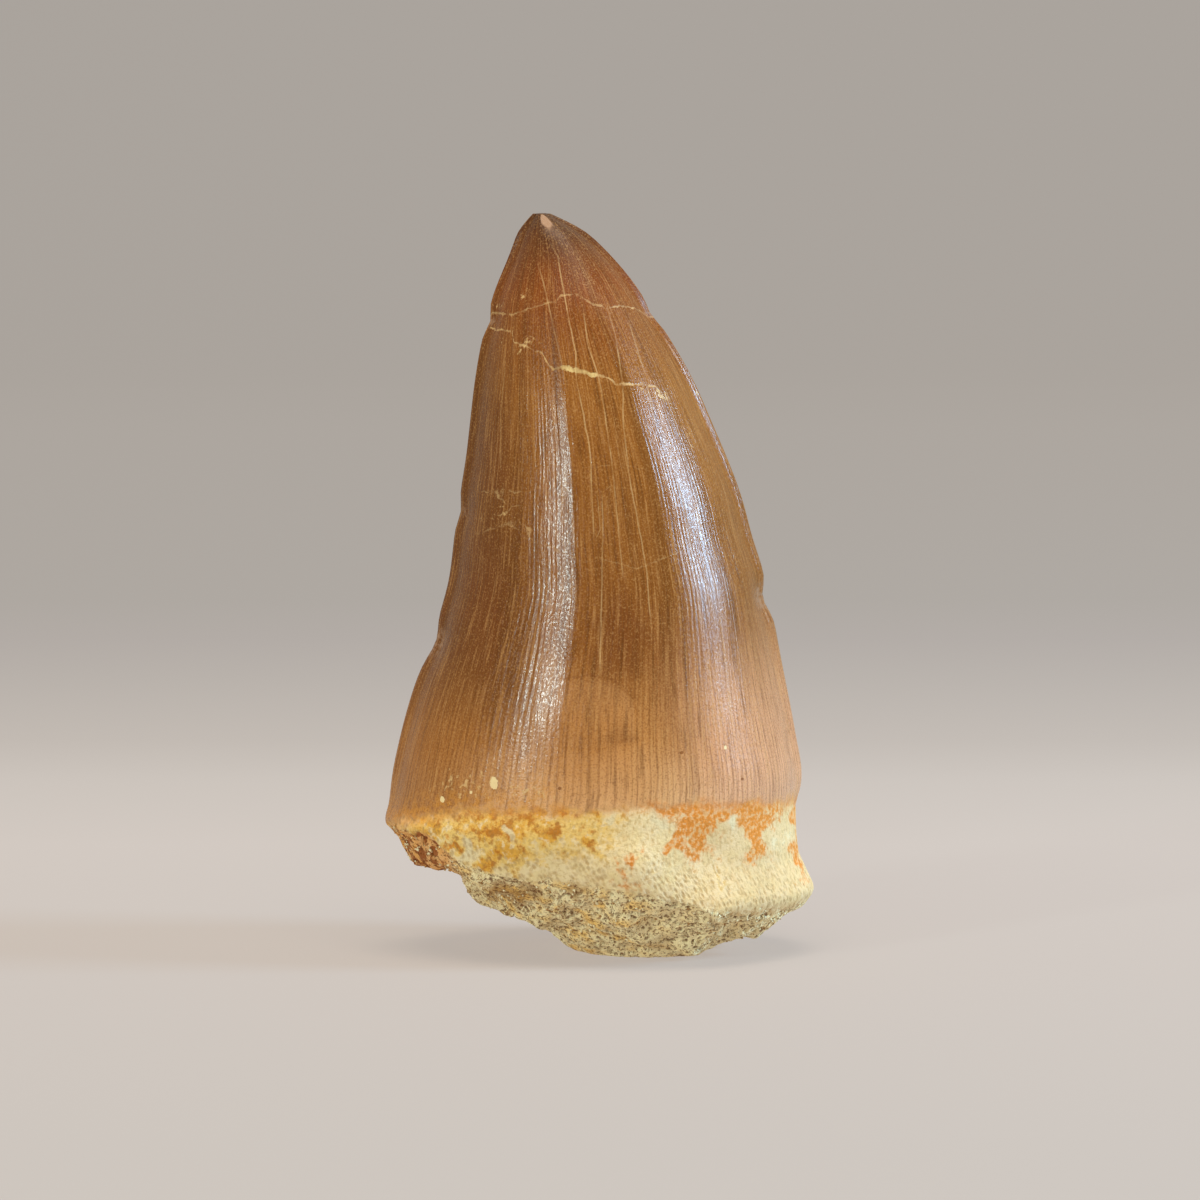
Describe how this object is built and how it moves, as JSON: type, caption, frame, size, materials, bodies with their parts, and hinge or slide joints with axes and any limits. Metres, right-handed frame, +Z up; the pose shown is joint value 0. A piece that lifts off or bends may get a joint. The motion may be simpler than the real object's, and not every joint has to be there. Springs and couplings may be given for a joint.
{
  "type": "fossil mosasaur tooth",
  "caption": "Fossil tooth of a large marine reptile: a pointed, slightly curved enamel crown with a keel down each edge, on a broken bony root that stands on a small flat spot.",
  "frame": {"origin": "on the ground, under the middle of the tooth's box as it stands on its flat spot", "axes": "+Z up from the root to the tip, +X across the face from the concave keel to the convex keel, -Y out of the face that is shown"},
  "size_m": [0.0358, 0.0266, 0.0615],
  "materials": {
    "fossil_tooth": "satin"
  },
  "bodies": {
    "root": {"tooth": "fossil_tooth"}
  },
  "joints": []
}
